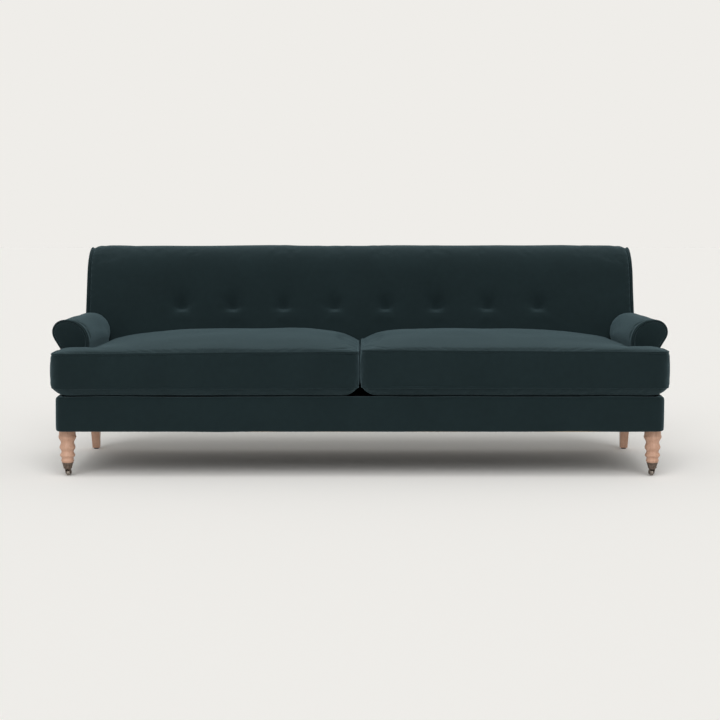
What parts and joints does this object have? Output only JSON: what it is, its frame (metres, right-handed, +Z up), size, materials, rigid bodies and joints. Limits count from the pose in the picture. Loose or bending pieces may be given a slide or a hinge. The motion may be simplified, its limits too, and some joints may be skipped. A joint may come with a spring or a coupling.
{
  "type": "sofa with wooden legs",
  "caption": "Long upholstered sofa with a buttoned tight back, flared scroll arms, loose T-shaped seat cushions, turned front legs on castors and raked square rear legs.",
  "frame": {"origin": "on the floor, under the middle of the overall box", "axes": "+Z up, +X to the right seen from the front, the front faces -Y"},
  "size_m": [2.3, 0.9003, 0.835],
  "materials": {
    "velvet": "dark teal cotton velvet, matte with a soft sheen",
    "decking_cloth": "plain black woven lining cloth",
    "hessian": "coarse natural hessian",
    "wadding": "white polyester wadding",
    "foam": "foam core in a fibre wrap",
    "webbing": "elastic black webbing",
    "twine": "waxed button twine",
    "zip": "dark nylon coil zip on tape",
    "frame_timber": "planed beech, unfinished",
    "leg_wood": "pale limed oak, matte lacquer",
    "spring_steel": "drawn spring wire",
    "zinc_steel": "bright zinc plated steel",
    "bronze": "dark antique bronze, satin",
    "glide_plastic": "hard brown nylon"
  },
  "bodies": {
    "frame": {"arm_facing_left": "velvet", "arm_facing_piping_left": "velvet", "arm_facing_piping_right": "velvet", "arm_facing_right": "velvet", "arm_pad_left": "velvet", "arm_pad_right": "velvet", "arm_stumps": "frame_timber", "arm_top_rails": "frame_timber", "arm_tuck_rails": "frame_timber", "back_button_ties": "twine", "back_buttons": "velvet", "back_pad": "velvet", "back_piping_left": "velvet", "back_piping_right": "velvet", "back_posts": "frame_timber", "back_side_panel_left": "velvet", "back_side_panel_right": "velvet", "back_top_rail": "frame_timber", "back_tuck_rail": "frame_timber", "back_uprights": "frame_timber", "back_webbing": "webbing", "base_border_front": "velvet", "base_border_sides": "velvet", "base_cross_braces": "frame_timber", "base_front_rail": "frame_timber", "base_rear_rail": "frame_timber", "base_side_rails": "frame_timber", "castor_cup_screws": "zinc_steel", "castor_cups": "bronze", "corner_blocks": "frame_timber", "deck_cover": "decking_cloth", "deck_hessian": "hessian", "deck_pad": "wadding", "dust_cover": "decking_cloth", "front_leg_left": "leg_wood", "front_leg_right": "leg_wood", "front_lip_roll": "velvet", "leg_studs": "zinc_steel", "outside_arm_panels": "velvet", "outside_back_panel": "velvet", "rear_glides": "glide_plastic", "rear_legs": "leg_wood", "seat_springs": "spring_steel", "spring_clips": "zinc_steel", "tee_nuts": "zinc_steel"},
    "castor_fork_left": {"castor_horn_left": "bronze", "castor_axle_left": "bronze"},
    "castor_fork_right": {"castor_horn_right": "bronze", "castor_axle_right": "bronze"},
    "wheel_left": {"castor_wheel_left": "bronze"},
    "wheel_right": {"castor_wheel_right": "bronze"},
    "cushion_left": {"seat_cushion_cover_left": "velvet", "seat_cushion_core_left": "foam", "seat_cushion_piping_left": "velvet", "seat_cushion_zip_left": "zip"},
    "cushion_right": {"seat_cushion_cover_right": "velvet", "seat_cushion_core_right": "foam", "seat_cushion_piping_right": "velvet", "seat_cushion_zip_right": "zip"}
  },
  "joints": [
    {"name": "castor_swivel_left", "type": "hinge", "parent": "frame", "child": "castor_fork_left", "pos_m": [-1.08, -0.36, 0.0289], "axis": [0, 0, 1], "continuous": true},
    {"name": "castor_wheel_spin_left", "type": "hinge", "parent": "castor_fork_left", "child": "wheel_left", "pos_m": [-1.08, -0.34, 0.0125], "axis": [1, 0, 0], "continuous": true},
    {"name": "cushion_lift_left", "type": "slide", "parent": "frame", "child": "cushion_left", "axis": [0, 0, 1], "range_m": [0, 0.3]},
    {"name": "castor_swivel_right", "type": "hinge", "parent": "frame", "child": "castor_fork_right", "pos_m": [1.08, -0.36, 0.0289], "axis": [0, 0, 1], "continuous": true},
    {"name": "castor_wheel_spin_right", "type": "hinge", "parent": "castor_fork_right", "child": "wheel_right", "pos_m": [1.08, -0.34, 0.0125], "axis": [1, 0, 0], "continuous": true},
    {"name": "cushion_lift_right", "type": "slide", "parent": "frame", "child": "cushion_right", "axis": [0, 0, 1], "range_m": [0, 0.3]}
  ]
}
